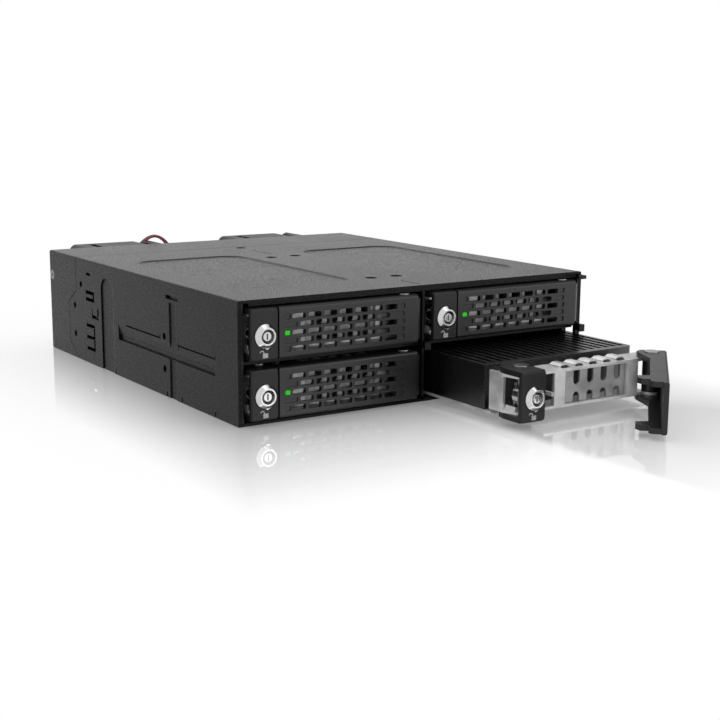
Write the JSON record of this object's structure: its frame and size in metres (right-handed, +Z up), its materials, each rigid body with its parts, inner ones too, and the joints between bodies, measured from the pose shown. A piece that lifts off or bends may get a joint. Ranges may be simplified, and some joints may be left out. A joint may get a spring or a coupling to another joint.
{
  "type": "hot swap drive cage",
  "caption": "Steel drive bay cage with sliding hot swap trays, each with a vented swing handle and key lock, a backplane behind the trays and rear cooling fans.",
  "frame": {"origin": "centre of the case's underside", "axes": "+X right as seen from the front, +Y to the rear fans, +Z up; the trays draw out along -Y"},
  "size_m": [0.146, 0.2752, 0.0433],
  "materials": {
    "case_paint": "satin grey paint",
    "bright_sheet": "plain zinc-plated sheet",
    "tray_sheet": "brushed sheet",
    "door_plastic": "fine-grained black",
    "black_plastic": "black",
    "black_metal": "black anodised",
    "chrome": "polished",
    "board": "green board",
    "clear": "clear moulded bar",
    "steel_screw": "plated",
    "wire_red": "red insulation",
    "wire_black": "black insulation"
  },
  "bodies": {
    "case": {"case_shell": "case_paint", "case_bottom": "case_paint", "rear_cover": "case_paint", "cage_side_left": "bright_sheet", "cage_side_right": "bright_sheet", "bay_divider": "bright_sheet", "mid_shelf": "bright_sheet", "backplane": "board", "drive_sockets": "black_plastic", "data_ports": "black_plastic", "power_ports": "black_plastic", "fan_frame_left": "black_plastic", "fan_frame_right": "black_plastic", "fan_screws": "steel_screw", "case_screws": "steel_screw", "fan_lead_red": "wire_red", "fan_lead_black": "wire_black"},
    "rotor_left": {"fan_rotor_left": "black_plastic"},
    "rotor_right": {"fan_rotor_right": "black_plastic"},
    "upper_left_tray": {"upper_left_tray_frame": "tray_sheet", "upper_left_tray_grille": "tray_sheet", "upper_left_heat_sink": "black_metal", "upper_left_drive_plug": "black_plastic", "upper_left_pivot_pins": "steel_screw", "upper_left_light_pipe": "clear"},
    "upper_left_lock": {"upper_left_lock_block": "door_plastic", "upper_left_lock_nut": "steel_screw"},
    "upper_left_key": {"upper_left_key_lock": "chrome"},
    "upper_left_door": {"upper_left_handle": "door_plastic"},
    "upper_right_tray": {"upper_right_tray_frame": "tray_sheet", "upper_right_tray_grille": "tray_sheet", "upper_right_heat_sink": "black_metal", "upper_right_drive_plug": "black_plastic", "upper_right_pivot_pins": "steel_screw", "upper_right_light_pipe": "clear"},
    "upper_right_lock": {"upper_right_lock_block": "door_plastic", "upper_right_lock_nut": "steel_screw"},
    "upper_right_key": {"upper_right_key_lock": "chrome"},
    "upper_right_door": {"upper_right_handle": "door_plastic"},
    "lower_left_tray": {"lower_left_tray_frame": "tray_sheet", "lower_left_tray_grille": "tray_sheet", "lower_left_heat_sink": "black_metal", "lower_left_drive_plug": "black_plastic", "lower_left_pivot_pins": "steel_screw", "lower_left_light_pipe": "clear"},
    "lower_left_lock": {"lower_left_lock_block": "door_plastic", "lower_left_lock_nut": "steel_screw"},
    "lower_left_key": {"lower_left_key_lock": "chrome"},
    "lower_left_door": {"lower_left_handle": "door_plastic"},
    "lower_right_tray": {"lower_right_tray_frame": "tray_sheet", "lower_right_tray_grille": "tray_sheet", "lower_right_heat_sink": "black_metal", "lower_right_drive_plug": "black_plastic", "lower_right_pivot_pins": "steel_screw", "lower_right_light_pipe": "clear"},
    "lower_right_lock": {"lower_right_lock_block": "door_plastic", "lower_right_lock_nut": "steel_screw"},
    "lower_right_key": {"lower_right_key_lock": "chrome"},
    "lower_right_door": {"lower_right_handle": "door_plastic"}
  },
  "joints": [
    {"name": "fan_left_spin", "type": "hinge", "parent": "case", "child": "rotor_left", "pos_m": [-0.0365, 0.0935, 0.02065], "axis": [0, 1, 0], "continuous": true},
    {"name": "fan_right_spin", "type": "hinge", "parent": "case", "child": "rotor_right", "pos_m": [0.0365, 0.0935, 0.02065], "axis": [0, 1, 0], "continuous": true},
    {"name": "upper_left_slide", "type": "slide", "parent": "case", "child": "upper_left_tray", "axis": [0, -1, 0], "range_m": [0, 0.13]},
    {"name": "upper_left_swing", "type": "hinge", "parent": "upper_left_tray", "child": "upper_left_door", "pos_m": [-0.0075, -0.0816, 0.0303], "axis": [0, 0, 1], "range_deg": [0, 90]},
    {"name": "upper_left_release", "type": "hinge", "parent": "upper_left_tray", "child": "upper_left_lock", "pos_m": [-0.0622, -0.0764, 0.0303], "axis": [0, 0, 1], "range_deg": [-4, 0], "stiffness_Nm_per_rad": 0.02},
    {"name": "upper_left_key_turn", "type": "hinge", "parent": "upper_left_lock", "child": "upper_left_key", "pos_m": [-0.0647, -0.0868, 0.0298], "axis": [0, 1, 0], "range_deg": [0, 90]},
    {"name": "upper_right_slide", "type": "slide", "parent": "case", "child": "upper_right_tray", "axis": [0, -1, 0], "range_m": [0, 0.13]},
    {"name": "upper_right_swing", "type": "hinge", "parent": "upper_right_tray", "child": "upper_right_door", "pos_m": [0.0646, -0.0816, 0.0303], "axis": [0, 0, 1], "range_deg": [0, 90]},
    {"name": "upper_right_release", "type": "hinge", "parent": "upper_right_tray", "child": "upper_right_lock", "pos_m": [0.0099, -0.0764, 0.0303], "axis": [0, 0, 1], "range_deg": [-4, 0], "stiffness_Nm_per_rad": 0.02},
    {"name": "upper_right_key_turn", "type": "hinge", "parent": "upper_right_lock", "child": "upper_right_key", "pos_m": [0.0074, -0.0868, 0.0298], "axis": [0, 1, 0], "range_deg": [0, 90]},
    {"name": "lower_left_slide", "type": "slide", "parent": "case", "child": "lower_left_tray", "axis": [0, -1, 0], "range_m": [0, 0.13]},
    {"name": "lower_left_swing", "type": "hinge", "parent": "lower_left_tray", "child": "lower_left_door", "pos_m": [-0.0075, -0.0816, 0.0105], "axis": [0, 0, 1], "range_deg": [0, 90]},
    {"name": "lower_left_release", "type": "hinge", "parent": "lower_left_tray", "child": "lower_left_lock", "pos_m": [-0.0622, -0.0764, 0.0105], "axis": [0, 0, 1], "range_deg": [-4, 0], "stiffness_Nm_per_rad": 0.02},
    {"name": "lower_left_key_turn", "type": "hinge", "parent": "lower_left_lock", "child": "lower_left_key", "pos_m": [-0.0647, -0.0868, 0.01], "axis": [0, 1, 0], "range_deg": [0, 90]},
    {"name": "lower_right_slide", "type": "slide", "parent": "case", "child": "lower_right_tray", "axis": [0, -1, 0], "range_m": [-0.048, 0.082]},
    {"name": "lower_right_swing", "type": "hinge", "parent": "lower_right_tray", "child": "lower_right_door", "pos_m": [0.0646, -0.1296, 0.0105], "axis": [0, 0, 1], "range_deg": [-45, 45]},
    {"name": "lower_right_release", "type": "hinge", "parent": "lower_right_tray", "child": "lower_right_lock", "pos_m": [0.0099, -0.1244, 0.0105], "axis": [0, 0, 1], "range_deg": [-4, 0], "stiffness_Nm_per_rad": 0.02},
    {"name": "lower_right_key_turn", "type": "hinge", "parent": "lower_right_lock", "child": "lower_right_key", "pos_m": [0.0074, -0.1348, 0.01], "axis": [0, 1, 0], "range_deg": [0, 90]}
  ]
}
